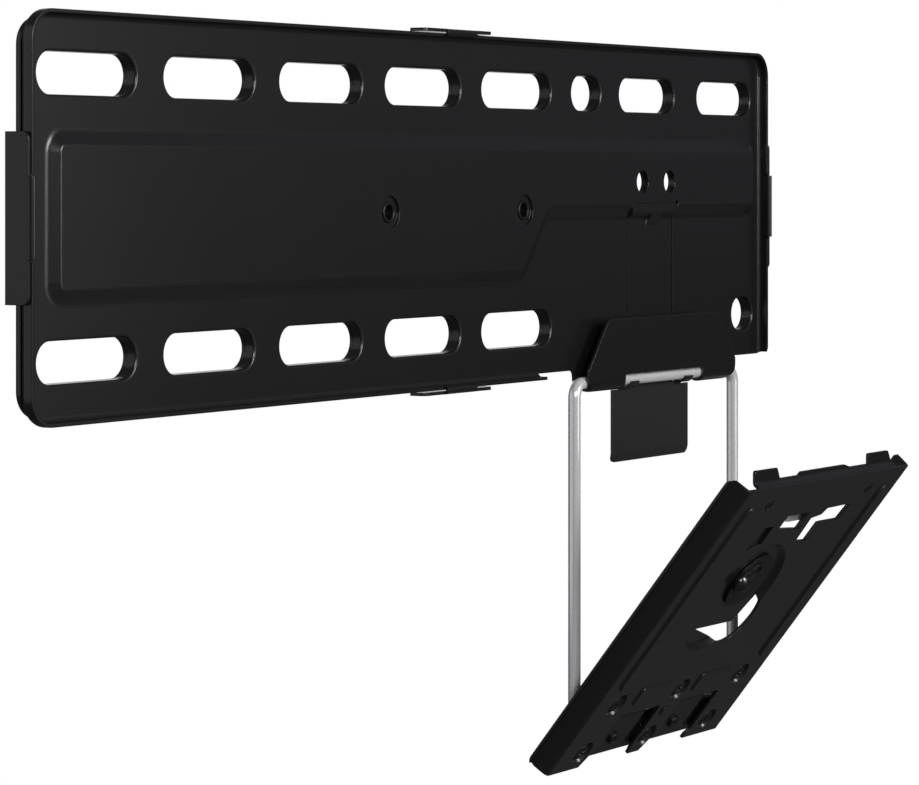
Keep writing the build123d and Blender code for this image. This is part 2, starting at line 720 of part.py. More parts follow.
# Tilting plate: flanged channel
skirt_x = plate_half - sheet / 2
flare_x = skirt_x + flange_deep * tan(flange_flare)
skirt_h = sheet / 2 + flange_deep
channel = bent_strip(plate_cross(0, plate_long / 2),
                     [(-flare_x - flange_lip, skirt_h), (-flare_x, skirt_h),
                      (-skirt_x, sheet / 2), (skirt_x, sheet / 2), (flare_x, skirt_h),
                      (flare_x + flange_lip, skirt_h)],
                     flange_bend, sheet, -plate_long / 2, plate_long / 2)

# Head flange of the tilting plate, bent back and then up to hold its hooks upright at rest
head_t = plate_long - sheet / 2
head_h = sheet / 2 + head_back
head_strip = bent_strip(plate_section(0),
                        [(head_t - 8, sheet / 2), (head_t, sheet / 2), (head_t, head_h),
                         (head_t + cos(tilt) * head_base, head_h + sin(tilt) * head_base)],
                        flange_bend, sheet, -74.0, 74.0)
head_hooks = ([(-74.0, 0.9), (-74.0, head_tab), (-51.7, head_tab), (-49.0, 0.9)],
              [(-30.0, 0.9), (-26.0, 2.9), (20.0, 2.9), (28.0, 0.9)],
              [(46.6, 0.9), (46.6, head_tab), (69.0, head_tab), (72.2, 0.9)])

with BuildPart() as tilt_plate:
    add(channel)
    # Rounded ends of the flanges
    with BuildSketch(plate_section(0)):
        with Locations((plate_long - flange_end_round / 2, skirt_h + sheet / 2
                        - flange_end_round / 2)):
            Rectangle(flange_end_round + 0.02, flange_end_round + 0.02)
        with Locations((plate_long - flange_end_round, skirt_h + sheet / 2 - flange_end_round)):
            Circle(flange_end_round, mode=Mode.SUBTRACT)
        with Locations((2.0, skirt_h + sheet / 2 - 2.0)):
            Rectangle(4.02, 4.02)
        with Locations((4.0, skirt_h + sheet / 2 - 4.0)):
            Circle(4.0, mode=Mode.SUBTRACT)
    extrude(amount=plate_half + 10, both=True, mode=Mode.SUBTRACT)
    add(head_strip)
    hook_plane = Plane(origin=plate_point(0, head_t, head_h) + Vector(0, sheet / 2, 0),
                       x_dir=(1, 0, 0), z_dir=(0, -1, 0))
    with BuildSketch(hook_plane):
        for corners in head_hooks:
            with BuildLine():
                Polyline(*corners, close=True)
            make_face()
        fillet(vertices().group_by(Axis.Y)[-1], 1.5)
    extrude(amount=sheet)

    # Side ribs and the pressed pads above the lower windows, hollow behind
    for h, amount, grow, mode in ((0, 1.0, 0.0, Mode.ADD), (sheet, 1.0, -0.5, Mode.SUBTRACT)):
        with BuildSketch(plate_plane(h)):
            with Locations((-70.0, (rib_low + rib_top) / 2), (73.5, (rib_low + rib_top) / 2)):
                SlotOverall(rib_top - rib_low + 2 * grow, rib_wide + 2 * grow, rotation=90)
        extrude(amount=amount, taper=40, mode=mode)
    for h, amount, grow, mode in ((0, 0.8, 0.0, Mode.ADD), (sheet, 0.8, -0.4, Mode.SUBTRACT)):
        with BuildSketch(plate_plane(h)):
            for pad_x in (-30.0, 30.0):
                with Locations((pad_x, 44.0)):
                    RectangleRounded(33.0 + 2 * grow, 12.0 + 2 * grow, 3.0 + grow)
            with Locations((0, 28.0)):
                RectangleRounded(9.0 + 2 * grow, 5.0 + 2 * grow, 1.2 + grow)
        extrude(amount=amount, taper=35, mode=mode)

    # Dimples that take the plate screws
    with BuildSketch(plate_plane(stack_h)):
        with Locations(*dimple_at):
            Circle(dimple_back_dia / 2)
    extrude(amount=stack_h - sheet / 2, taper=-10)
    with BuildSketch(plate_plane(dimple_deep)):
        with Locations(*dimple_at):
            Circle(dimple_dia / 2 - 1)
    extrude(amount=dimple_deep, taper=-27, mode=Mode.SUBTRACT)
    with BuildSketch(plate_plane(through / 2)):
        with Locations(*dimple_at):
            Circle(screw_dia / 2 + running_fit)
    extrude(amount=through, mode=Mode.SUBTRACT)

    # Round well with a sloping wall
    wall_grow = sheet * (2 ** 0.5 - 1)
    with BuildSketch(plate_plane(sheet / 2)):
        with Locations((well_x, well_t)):
            Circle(well_radius + wall_grow + sheet / 2)
    with BuildSketch(plate_plane(sheet + well_deep)):
        with Locations((well_x, well_t)):
            Circle(well_radius + wall_grow - well_deep)
    loft(ruled=True)
    with BuildSketch(plate_plane(-0.5)):
        with Locations((well_x, well_t)):
            Circle(well_radius + 0.5)
    with BuildSketch(plate_plane(well_deep)):
        with Locations((well_x, well_t)):
            Circle(well_radius - well_deep)
    loft(ruled=True, mode=Mode.SUBTRACT)

    # Crescent opening beside the well, head windows and the open windows at the lower edge
    with BuildSketch(plate_plane(through / 2)):
        with BuildLine():
            Line(crescent_tip, crescent_corner)
            Line(crescent_corner, crescent_top)
            ThreePointArc(crescent_top, crescent_middle, crescent_low)
            Line(crescent_low, crescent_tip)
        make_face()
        fillet(vertices().sort_by_distance(crescent_corner)[0], 2.0)
        for window in (left_window, mid_window, right_window):
            with BuildLine():
                Polyline(*[(x, head_line + up) for x, up in window], close=True)
            make_face()
    extrude(amount=through, mode=Mode.SUBTRACT)
    with BuildSketch(plate_plane(through / 2)):
        for window in lower_windows:
            with BuildLine():
                Polyline(*window, close=True)
            make_face()
        fillet(vertices().filter_by(lambda v: near(v.Y, window_top)), 2.0)
    extrude(amount=through, mode=Mode.SUBTRACT)

    # Holes for the knob rivet and the stiffener rivets
    with BuildSketch(plate_plane(through / 2)):
        with Locations((knob_x, knob_t)):
            Circle(pivot_dia / 2 + running_fit)
        with Locations(*rivet_at):
            Circle(rivet_dia / 2 + running_fit)
    extrude(amount=through, mode=Mode.SUBTRACT)

# Top stiffener: flat strip behind the head windows, closing the left one
with BuildPart() as top_stiffener:
    with BuildSketch(plate_plane(sheet + stiff_thick)):
        with Locations((0, (stiff_low + stiff_top) / 2)):
            RectangleRounded(2 * stiff_half, stiff_top - stiff_low, 4.0)
        with Locations((well_x, well_t)):
            Circle(well_radius + 3.0, mode=Mode.SUBTRACT)
        with Locations((-10.2, head_line - 0.3)):
            RectangleRounded(27.6, 14.6, 1.5, mode=Mode.SUBTRACT)
        with BuildLine():
            Polyline(*[(x, head_line + up) for x, up in stiff_window], close=True)
        make_face(mode=Mode.SUBTRACT)
        with Locations(*rivet_at):
            Circle(rivet_dia / 2 + running_fit, mode=Mode.SUBTRACT)
    extrude(amount=stiff_thick)

with BuildPart() as stiffener_rivets:
    with BuildSketch(plate_plane(sheet + stiff_thick)):
        with Locations(*rivet_at):
            Circle(rivet_dia / 2)
    extrude(amount=sheet + stiff_thick + 0.25)
    with BuildSketch(plate_plane(sheet + stiff_thick + 0.9)):
        with Locations(*rivet_at):
            Circle(rivet_dia / 2 + 1.3)
    extrude(amount=0.9)

# Latch spring: bent leaf across the middle window, lying on the back of the stiffener
spring_h = sheet + stiff_thick + spring_thick / 2
with BuildPart() as latch_spring:
    with BuildSketch(plate_cross(0, head_line)):
        with BuildLine():
            FilletPolyline((-31.0, spring_h), (-24.5, spring_h), (-15.0, spring_h + 3.2),
                           (-8.0, spring_h + 0.6), (4.0, spring_h + 0.6), (5.2, spring_h),
                           (10.0, spring_h), radius=0.6)
        trace(line_width=spring_thick)
    extrude(amount=spring_wide / 2, both=True)

# Turn knob: nearly flat disc with a raised oblong loop and a hole for its stud
knob_axis = Axis(plate_point(knob_x, knob_t, 0), plate_front)
with BuildPart() as lock_knob:
    with BuildSketch(plate_cross(knob_x, knob_t)):
        with BuildLine():
            Line((0, knob_low), (knob_radius, knob_low))
            Line((knob_radius, knob_low), (knob_radius, knob_rim))
            ThreePointArc(*dome_points(knob_radius, knob_rim, knob_rise))
            Line((0, knob_rim - knob_rise), (0, knob_low))
        make_face()
    revolve(axis=knob_axis)
    with BuildSketch(plate_plane(knob_rim)):
        with Locations((loop_x, loop_t)):
            SlotOverall(loop_long, loop_wide, rotation=loop_angle)
            SlotOverall(loop_long - 2 * loop_wall, loop_wide - 2 * loop_wall,
                        rotation=loop_angle, mode=Mode.SUBTRACT)
    extrude(amount=loop_high)
    with BuildSketch(plate_plane(through / 2)):
        with Locations((knob_x, knob_t)):
            Circle(pivot_dia / 2 + running_fit)
        with Locations((stud_x, stud_t)):
            Circle(stud_shank_dia / 2 + running_fit)
    extrude(amount=through, mode=Mode.SUBTRACT)

# Domed stud riveted into the knob at the end of its loop
stud_base = knob_rim - loop_high - running_fit
with BuildPart() as knob_stud:
    with BuildSketch(plate_plane(knob_low)):
        with Locations((stud_x, stud_t)):
            Circle(stud_shank_dia / 2)
    extrude(amount=knob_low - stud_base)
    with BuildSketch(plate_cross(stud_x, stud_t)):
        with BuildLine():
            Line((0, stud_base), (stud_head_dia / 2, stud_base))
            ThreePointArc(*dome_points(stud_head_dia / 2, stud_base, stud_head_rise))
            Line((0, stud_base - stud_head_rise), (0, stud_base))
        make_face()
    revolve(axis=Axis(plate_point(stud_x, stud_t, 0), plate_front))

# Knob rivet, flush with the middle of the knob
floor_back = sheet + well_deep
pivot_end = floor_back + 0.3 + cam_thick + 0.1 + clip_thick + 0.4
with BuildPart() as knob_rivet:
    with BuildSketch(plate_plane(pivot_end)):
        with Locations((knob_x, knob_t)):
            Circle(pivot_dia / 2)
    extrude(amount=pivot_end - knob_rim + knob_rise)

with BuildPart() as spring_washer:
    with BuildSketch(plate_plane(well_deep - running_fit)):
        with Locations((knob_x, knob_t)):
            Circle(washer_radius)
            Circle(pivot_dia / 2 + 0.3, mode=Mode.SUBTRACT)
    extrude(amount=washer_thick)

with BuildPart() as adjust_cam:
    with BuildSketch(plate_plane(floor_back + 0.3 + cam_thick)):
        with Locations((knob_x, knob_t + cam_shift)):
            Circle(cam_radius)
        with Locations((knob_x, knob_t)):
            Circle(pivot_dia / 2 + running_fit, mode=Mode.SUBTRACT)
    extrude(amount=cam_thick)

with BuildPart() as retaining_clip:
    with BuildSketch(plate_plane(floor_back + 0.4 + cam_thick + clip_thick)):
        with Locations((knob_x, knob_t)):
            Circle(clip_radius)
            Circle(pivot_dia / 2 + running_fit, mode=Mode.SUBTRACT)
        with Locations((knob_x, knob_t - clip_radius)):
            Rectangle(3.0, 5.6, mode=Mode.SUBTRACT)
    extrude(amount=clip_thick)

pieces = {
    "front_tray": front_tray,
    "rear_tray": rear_tray,
    "tie_eyelets": tie_eyelets,
    "bail_wire": bail_wire,
    "latch_flap": latch_flap,
    "tilt_plate": tilt_plate,
    "hinge_backplate": hinge_backplate,
    "knuckle_left": knuckle_left,
    "knuckle_right": knuckle_right,
    "knuckle_screws": knuckle_screws,
    "knuckle_nuts": knuckle_nuts,
    "plate_screws": plate_screws,
    "top_stiffener": top_stiffener,
    "stiffener_rivets": stiffener_rivets,
    "latch_spring": latch_spring,
    "lock_knob": lock_knob,
    "knob_stud": knob_stud,
    "knob_rivet": knob_rivet,
    "spring_washer": spring_washer,
    "adjust_cam": adjust_cam,
    "retaining_clip": retaining_clip,
}
for name, piece in pieces.items():
    piece.part.label = name
    export_step(piece.part, f"parts/{name}.step")
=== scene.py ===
"""Studio picture of a wall bracket for a television.

The solid model gives the frame: metres, X to the right, Y into the wall, Z up. Every piece below is
made at the origin, unrotated, in that frame, and rides on one of its rigid bodies.
"""

import logging
from dataclasses import dataclass, field
from enum import Enum
from math import asin, atan2, cos, degrees, pi, radians, sin, sqrt
from typing import Callable, Sequence

import bmesh
import bpy
import numpy as np
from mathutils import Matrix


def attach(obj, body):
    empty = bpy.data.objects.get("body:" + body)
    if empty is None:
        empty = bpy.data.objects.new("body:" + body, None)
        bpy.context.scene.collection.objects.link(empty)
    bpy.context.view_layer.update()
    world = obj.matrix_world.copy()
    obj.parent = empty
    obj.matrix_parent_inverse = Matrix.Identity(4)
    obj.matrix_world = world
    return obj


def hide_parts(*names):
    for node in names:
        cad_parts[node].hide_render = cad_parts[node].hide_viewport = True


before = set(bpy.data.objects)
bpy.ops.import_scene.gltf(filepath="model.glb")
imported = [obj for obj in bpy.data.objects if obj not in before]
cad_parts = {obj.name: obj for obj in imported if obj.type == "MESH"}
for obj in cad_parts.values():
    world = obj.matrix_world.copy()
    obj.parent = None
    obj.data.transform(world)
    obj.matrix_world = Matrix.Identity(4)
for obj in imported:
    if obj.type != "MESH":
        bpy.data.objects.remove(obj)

log = logging.getLogger("bracket")
MM = 0.001
WELD = 1e-7  # points closer than this, in metres, are joined
SHARP = radians(38.0)  # edges that turn by more than this stay crisp
GRAIN_DEPTH = 0.0002  # height of the surface grain at full strength, in metres
MOTTLE_SCALE = 9.0  # cycles per metre of the slow change in roughness

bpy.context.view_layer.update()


class Glow(Enum):
    """Where the studio's light comes from."""

    LEFT = "left"
    FRONT = "front"
    KEY = "key"
    FILL = "fill"
    RIGHT = "right"


@dataclass(frozen=True)
class Finish:
    """A surface finish as the shader sees it.

    Attributes:
        colour: Linear base colour.
        roughness: Mean roughness of the surface.
        metallic: 0 for paint, 1 for bare metal.
        coat: Weight of the clear layer over the base.
        grain: Size of the surface texture, in millimetres.
        relief: Height of the surface texture as a bump strength.
        mottle: How much the roughness wanders over the piece.
        shine: Strength of the mirror part of paint, 0.5 for ordinary lacquer.
        edge: Radius in millimetres that sharp edges appear to have.
        slot: Material slot of the record that the finish belongs to.
    """

    colour: tuple[float, float, float]
    roughness: float
    metallic: float = 0.0
    coat: float = 0.0
    grain: float = 0.5
    relief: float = 0.1
    mottle: float = 0.06
    shine: float = 0.5
    edge: float = 0.3
    slot: str = "black_sheet"


POWDER = Finish((0.0095, 0.0096, 0.0101), 0.25, coat=0.06, grain=0.55, relief=0.04, shine=0.46,
                edge=0.7)
# Lighter copy of the black sheet: the raised colour is painted light for the brighter light on the
# latch flap.
LIT_FLAP = Finish((0.0165, 0.0168, 0.0174), 0.36, grain=0.55, relief=0.06, shine=0.6)
HARDWARE = Finish((0.006, 0.006, 0.0063), 0.38, grain=0.9, relief=0.02, shine=0.3,
                  slot="black_hardware")
WIRE = Finish((0.97, 0.97, 0.98), 0.14, metallic=0.45, grain=0.8, relief=0.02,
              slot="bright_wire")
# Dark copy of the bright wire's steel: the low colour is painted shade for the dim reflection on
# the dome of the stud.
SHADED_STUD = Finish((0.09, 0.09, 0.093), 0.22, metallic=1.0, grain=0.9, relief=0.02,
              slot="bright_wire")
# The grey hinge steel is painted nearly black: painted shade for the shadow in the windows where
# the knuckles sit. The nuts and the cam share it.
SHADED_HINGE = Finish((0.007, 0.007, 0.0074), 0.30, grain=0.7, relief=0.04, slot="grey_hinge")
SPRING = Finish((0.85, 0.85, 0.86), 0.2, metallic=0.5, grain=0.7, relief=0.03,
                slot="spring_steel")


class Socket:
    """An output of a shader node that can be added, multiplied and so on."""

    def __init__(self, graph: "Graph", output: bpy.types.NodeSocket) -> None:
        """Wraps an output.

        Args:
            graph: The graph that the output belongs to.
            output: The node's output socket.
        """
        self.graph = graph
        self.output = output

    def __add__(self, other: "Socket | float") -> "Socket":
        """Adds.

        Args:
            other: The value to add.

        Returns:
            The sum.
        """
        return self.graph.maths("ADD", self, other)

    __radd__ = __add__

    def __mul__(self, other: "Socket | float") -> "Socket":
        """Multiplies.

        Args:
            other: The factor.

        Returns:
            The product.
        """
        return self.graph.maths("MULTIPLY", self, other)

    def __sub__(self, other: "Socket | float") -> "Socket":
        """Subtracts.

        Args:
            other: The value to take away.

        Returns:
            The difference.
        """
        return self.graph.maths("SUBTRACT", self, other)


class Graph:
    """A material's node graph with a short way to write its nodes."""

    def __init__(self, name: str) -> None:
        """Starts a material with an empty graph.

        Args:
            name: Name of the material.
        """
        self.material = bpy.data.materials.new(name)
        self.material.use_nodes = True
        self.tree = self.material.node_tree
        self.tree.nodes.clear()

    def node(self, kind: str, settings: dict | None = None, **inputs: object) -> bpy.types.Node:
        """Adds any node.

        Args:
            kind: Blender's name of the node type.
            settings: Attributes to set on the node.
            **inputs: Values or sockets by input name, with underscores for spaces.

        Returns:
            The new node.
        """
        made = self.tree.nodes.new(kind)
        for key, value in (settings or {}).items():
            setattr(made, key, value)
        for key, value in inputs.items():
            self.feed(made.inputs[key.replace("_", " ")], value)
        return made

    def feed(self, target: bpy.types.NodeSocket, value: object) -> None:
        """Links a socket to an input or sets its constant.

        Args:
            target: The input.
            value: A Socket, a node's output or a constant.
        """
        if isinstance(value, Socket):
            self.tree.links.new(value.output, target)
        elif isinstance(value, bpy.types.NodeSocket):
            self.tree.links.new(value, target)
        else:
            target.default_value = value

    def maths(self, operation: str, *values: "Socket | float") -> Socket:
        """A maths node on its values.

        Args:
            operation: Name of the maths operation.
            *values: Sockets or numbers.

        Returns:
            The result.
        """
        made = self.node("ShaderNodeMath", {"operation": operation})
        for target, value in zip(made.inputs, values):
            self.feed(target, value)
        return Socket(self, made.outputs[0])

    def noise(self, scale: float, detail: float) -> Socket:
        """Noise over the piece in object space.

        Args:
            scale: Cycles per metre.
            detail: Octaves of the noise.

        Returns:
            The noise value, about 0 to 1.
        """
        place = self.node("ShaderNodeTexCoord").outputs["Object"]
        made = self.node("ShaderNodeTexNoise", Vector=place, Scale=scale, Detail=detail)
        return Socket(self, made.outputs["Fac"])


def finish_material(name: str, finish: Finish) -> bpy.types.Material:
    """Makes the material of a finish: a fine bumpy grain and a slow change of roughness.

    Args:
        name: Name of the material.
        finish: The finish.

    Returns:
        The material.
    """
    graph = Graph(name)
    slow = graph.noise(MOTTLE_SCALE, 3.0)
    grain = graph.noise(1.0 / (finish.grain * MM), 2.0)
    rough = finish.roughness + (slow - 0.5) * finish.mottle + (grain - 0.5) * finish.mottle
    rounded = graph.node("ShaderNodeBevel", {"samples": 6}, Radius=finish.edge * MM)
    bump = graph.node("ShaderNodeBump", Strength=finish.relief, Distance=GRAIN_DEPTH,
                      Height=grain, Normal=rounded.outputs[0])
    shader = graph.node("ShaderNodeBsdfPrincipled", Roughness=rough, Metallic=finish.metallic,
                        Coat_Weight=finish.coat, Normal=bump.outputs[0])
    shader.inputs["Base Color"].default_value = (*finish.colour, 1.0)
    shader.inputs["Specular IOR Level"].default_value = finish.shine
    out = graph.node("ShaderNodeOutputMaterial")
    graph.feed(out.inputs["Surface"], shader.outputs[0])
    return graph.material


CAD_FINISH: dict[str, Finish] = {
    "front_tray": POWDER, "rear_tray": POWDER, "tie_eyelets": HARDWARE, "bail_wire": WIRE,
    "latch_flap": LIT_FLAP, "tilt_plate": POWDER, "hinge_backplate": POWDER,
    "knuckle_left": SHADED_HINGE, "knuckle_right": SHADED_HINGE, "knuckle_screws": HARDWARE,
    "knuckle_nuts": SHADED_HINGE, "plate_screws": HARDWARE, "top_stiffener": POWDER,
    "stiffener_rivets": HARDWARE, "latch_spring": SPRING, "lock_knob": HARDWARE,
    "knob_rivet": HARDWARE, "knob_stud": SHADED_STUD, "spring_washer": SPRING, "adjust_cam": SHADED_HINGE,
    "retaining_clip": SPRING,
}


@dataclass
class Paintwork:
    """One material per finish, made when it is first asked for."""

    made: dict[Finish, bpy.types.Material] = field(default_factory=dict)

    def of(self, finish: Finish) -> bpy.types.Material:
        """The material of a finish.

        Args:
            finish: The finish.

        Returns:
            Its material.
        """
        if finish not in self.made:
            self.made[finish] = finish_material(f"finish_{len(self.made)}", finish)
        return self.made[finish]

    def paint_nodes(self) -> None:
        """Gives every CAD node that is shown its finish."""
        for name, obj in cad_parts.items():
            finish = CAD_FINISH[name]
            obj.data.materials.clear()
            obj.data.materials.append(self.of(finish))
            log.info("%s painted as %s", name, finish.slot)


@dataclass(frozen=True)
class Seat:
    """A flat place that pieces stand on.

    Attributes:
        origin: Its zero point in millimetres.
        up: Its upward direction in the world.
        out: The direction out of its face in the world.
    """

    origin: tuple[float, float, float]
    up: tuple[float, float, float]
    out: tuple[float, float, float]

    def place(self, across: np.ndarray, up: np.ndarray, out: np.ndarray) -> np.ndarray:
        """World positions of points on the seat.

        Args:
            across: Distances to the right, in millimetres.
            up: Distances up the seat.
            out: Distances out of its face.

        Returns:
            Positions in metres, with x, y and z last.
        """
        right = np.array([1.0, 0.0, 0.0])
        parts = (np.asarray(part)[..., None] * np.array(way) for part, way in
                 ((across, right), (up, self.up), (out, self.out)))
        return (np.array(self.origin) + sum(parts)) * MM


TILT = radians(37.8)
WALL = Seat((0.0, -6.5, 0.0), (0.0, 0.0, 1.0), (0.0, -1.0, 0.0))
PLATE = Seat((185.0, 2.025, -271.06), (0.0, -sin(TILT), cos(TILT)), (0.0, -cos(TILT), -sin(TILT)))

DIMPLES_ACROSS, DIMPLES_UP = (-63.0, 0.0, 63.0), (10.5, 41.5)
KNUCKLES_ACROSS, KNUCKLES_UP = (-36.0, 25.0), 14.4
RIVETS_ACROSS, RIVETS_UP = (-53.7, 53.7), 167.3
EYELETS_ACROSS = (-54.0, 60.0)
STUD_AT = (-19.79, 113.79)


def arc(middle: tuple[float, float], radius: float, start: float, end: float,
        count: int = 9) -> list[tuple[float, float]]:
    """Points on an arc of a profile.

    Args:
        middle: Centre of the arc.
        radius: Its radius.
        start: First angle in degrees.
        end: Last angle in degrees.
        count: Number of points.

    Returns:
        The points in order.
    """
    return [(middle[0] + radius * cos(a), middle[1] + radius * sin(a))
            for a in np.radians(np.linspace(start, end, count))]


@dataclass
class Skin:
    """A closed smooth mesh made of grids of points.

    Attributes:
        name: Name of the object that it becomes.
        points: Grids of points, flattened.
        faces: Their quads as indices.
    """

    name: str
    points: list[np.ndarray] = field(default_factory=list)
    faces: list[np.ndarray] = field(default_factory=list)

    def grid(self, points: np.ndarray, loop: bool = False) -> None:
        """Adds a grid that closes on itself in its second direction.

        Args:
            points: Positions by row, column and axis.
            loop: True to close it in its first direction too.
        """
        first = sum(len(part) for part in self.points)
        rows, columns = points.shape[:2]
        index = first + np.arange(rows * columns).reshape(rows, columns)
        index = np.hstack([index, index[:, :1]])
        if loop:
            index = np.vstack([index, index[:1]])
        quads = np.stack([index[:-1, :-1], index[1:, :-1], index[1:, 1:], index[:-1, 1:]], -1)
        self.points.append(points.reshape(-1, 3))
        self.faces.append(quads.reshape(-1, 4))

    def finish(self, paint: Paintwork, finish: Finish, body: str, node: str) -> None:
        """Makes the object, turns its faces outwards and seats it in the model.

        Args:
            paint: Where the material comes from.
            finish: The surface finish.
            body: The rigid body it rides on.
            node: The CAD node whose place it takes.
        """
        mesh = bpy.data.meshes.new(self.name)
        mesh.from_pydata(np.vstack(self.points).tolist(), [], np.vstack(self.faces).tolist())
        shell = bmesh.new()
        shell.from_mesh(mesh)
        bmesh.ops.remove_doubles(shell, verts=shell.verts, dist=WELD)
        bmesh.ops.dissolve_degenerate(shell, edges=shell.edges, dist=WELD)
        bmesh.ops.recalc_face_normals(shell, faces=shell.faces)
        shell.to_mesh(mesh)
        shell.free()
        mesh.shade_smooth()
        mesh.set_sharp_from_angle(angle=SHARP)
        mesh.materials.append(paint.of(finish))
        obj = bpy.data.objects.new(self.name, mesh)
        bpy.context.scene.collection.objects.link(obj)
        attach(obj, body)
        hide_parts(node)
        log.info("%s: %d faces for %s", self.name, len(mesh.polygons), node)


Shape = Callable[[np.ndarray, np.ndarray, np.ndarray], tuple[np.ndarray, np.ndarray, np.ndarray]]


def turned(seat: Seat, at: tuple[float, float], profile: Sequence[tuple[float, float]],
           segments: int = 72, shape: Shape | None = None) -> np.ndarray:
    """Grid of a profile turned about an axis square to a seat.

    The point of the profile at radius r and height z becomes, at the angle a, the point r cos a
    across, r sin a up and z out.

    Args:
        seat: The seat.
        at: The axis on the seat.
        profile: Radii and heights, from one end of the turned form to the other.
        segments: Points round the axis.
        shape: Optional change of the points before they are placed.

    Returns:
        The grid.
    """
    radius, height = np.array(profile, float).T
    angle = np.linspace(0.0, 2.0 * pi, segments, endpoint=False)
    across = radius[:, None] * np.cos(angle)
    up = radius[:, None] * np.sin(angle)
    out = np.repeat(height[:, None], segments, axis=1)
    if shape is not None:
        across, up, out = shape(across, up, out)
    return seat.place(at[0] + across, at[1] + up, out)


@dataclass(frozen=True)
class Screw:
    """A pan-head screw with a cross recess and a threaded shank.

    Attributes:
        base: Height of the head's underside out of the seat.
        head: Diameter of the head.
        high: Height of the head.
        shank: Diameter of the shank.
        end: Height of the shank's end.
        cross: Length and width of the recess.
        sink: Depth of the recess.
        pitch: Pitch of the thread.
    """

    base: float
    head: float
    high: float
    shank: float
    end: float
    cross: tuple[float, float]
    sink: float
    pitch: float = 0.7

    def profile(self) -> list[tuple[float, float]]:
        """The outline of the screw.

        The head's top falls by 0.12 mm times the square of the radius over the rim's radius.

        Returns:
            Radii and heights from the middle of the head to the end of the shank.
        """
        rim, top, fall, soft = self.head / 2, self.base + self.high, 0.12, 0.62
        crown = [(r, top - fall * (r / rim) ** 2) for r in np.linspace(0.0, rim - soft, 26)]
        edge = arc((rim - soft, top - fall - soft), soft, 88.0, 0.0, 8)
        turns = int((self.base - self.end) / self.pitch * 8)
        shank = [(self.shank / 2, z) for z in np.linspace(self.base, self.end + 0.3, turns)]
        return crown + edge + [(rim, self.base), *shank, (self.shank / 2 - 0.4, self.end),
                               (0.0, self.end)]

    def cut(self, turn: float) -> Shape:
        """The change that sinks the cross and winds the thread.

        The depth of the recess falls to nothing within 0.12 mm at the sides of two crossed bars
        and shallows towards their ends. The thread takes 0.28 mm off the radius along a helix.

        Args:
            turn: Angle of the cross.

        Returns:
            The change of the points.
        """
        long, wide = self.cross

        def change(across: np.ndarray, up: np.ndarray,
                   out: np.ndarray) -> tuple[np.ndarray, np.ndarray, np.ndarray]:
            """Moves the points of the plain screw.

            Args:
                across: Distances to the right of the axis.
                up: Distances up from the axis.
                out: Heights out of the seat.

            Returns:
                The same three, changed.
            """
            along = across * cos(turn) + up * sin(turn)
            aside = up * cos(turn) - across * sin(turn)
            bars = [np.clip((wide / 2 - abs(b)) / 0.12 + 0.5, 0.0, 1.0)
                    * np.clip((long / 2 - abs(a)) / 0.3, 0.0, 1.0)
                    * (1.0 - 0.45 * abs(a) / long) for a, b in ((along, aside), (aside, along))]
            front = out > self.base + self.high * 0.5
            sunk = np.where(front, self.sink * np.maximum(*bars), 0.0)
            radius = np.hypot(across, up)
            threaded = (out < self.base - 0.2) & (radius > self.shank / 2 - 0.1)
            wave = (out / self.pitch + np.arctan2(up, across) / (2 * pi)) % 1.0
            groove = np.where(threaded, 0.28 * abs(2.0 * wave - 1.0), 0.0)
            narrow = 1.0 - groove / np.maximum(radius, 0.1)
            return across * narrow, up * narrow, out - sunk

        return change

    def grid(self, seat: Seat, at: tuple[float, float], turn: float) -> np.ndarray:
        """Grid of one screw.

        Args:
            seat: The seat that it stands on.
            at: Its axis on the seat.
            turn: Angle of its cross.

        Returns:
            The grid.
        """
        return turned(seat, at, self.profile(), 96, self.cut(turn))


@dataclass
class Bail:
    """The closed loop of bright wire.

    Attributes:
        middle: Middle between its sides, in millimetres.
        half: Half the distance between the middles of its sides.
        top: Height of its upper bar.
        drop: Distance from the upper bar to the lower.
        depth: Depth of its plane in front of the wall plate's face.
        radius: Radius of the wire.
        corner: Radius of its corners.
    """

    middle: float = 185.0
    half: float = 80.5
    top: float = -83.45
    drop: float = 161.5
    depth: float = 3.5
    radius: float = 3.0
    corner: float = 7.0

    def path(self) -> tuple[np.ndarray, np.ndarray]:
        """Middle line of the wire.

        Each corner is a quarter circle, and straight runs join their ends.

        Returns:
            The points of the line and its outward directions there, each as across and up.
        """
        low = self.top - self.drop
        spots, ways = [], []
        for x, z, start in ((1, 1, 0.0), (-1, 1, 90.0), (-1, -1, 180.0), (1, -1, 270.0)):
            angle = np.radians(start + np.linspace(0.0, 90.0, 25))
            way = np.stack([np.cos(angle), np.sin(angle)], -1)
            centre = (self.middle + x * (self.half - self.corner),
                      (self.top if z > 0 else low) - z * self.corner)
            spots.append(np.array(centre) + self.corner * way)
            ways.append(way)
        return np.vstack(spots), np.vstack(ways)

    def grid(self) -> np.ndarray:
        """The wire's surface: a circle carried along its middle line, upright to it.

        Returns:
            The grid.
        """
        spots, ways = self.path()
        angle = np.linspace(0.0, 2.0 * pi, 40, endpoint=False)
        aside = self.radius * np.cos(angle)
        flat = spots[:, None, :] + ways[:, None, :] * aside[None, :, None]
        out = np.repeat(self.depth + self.radius * np.sin(angle)[None, :], len(spots), axis=0)
        return WALL.place(flat[..., 0], flat[..., 1], out)


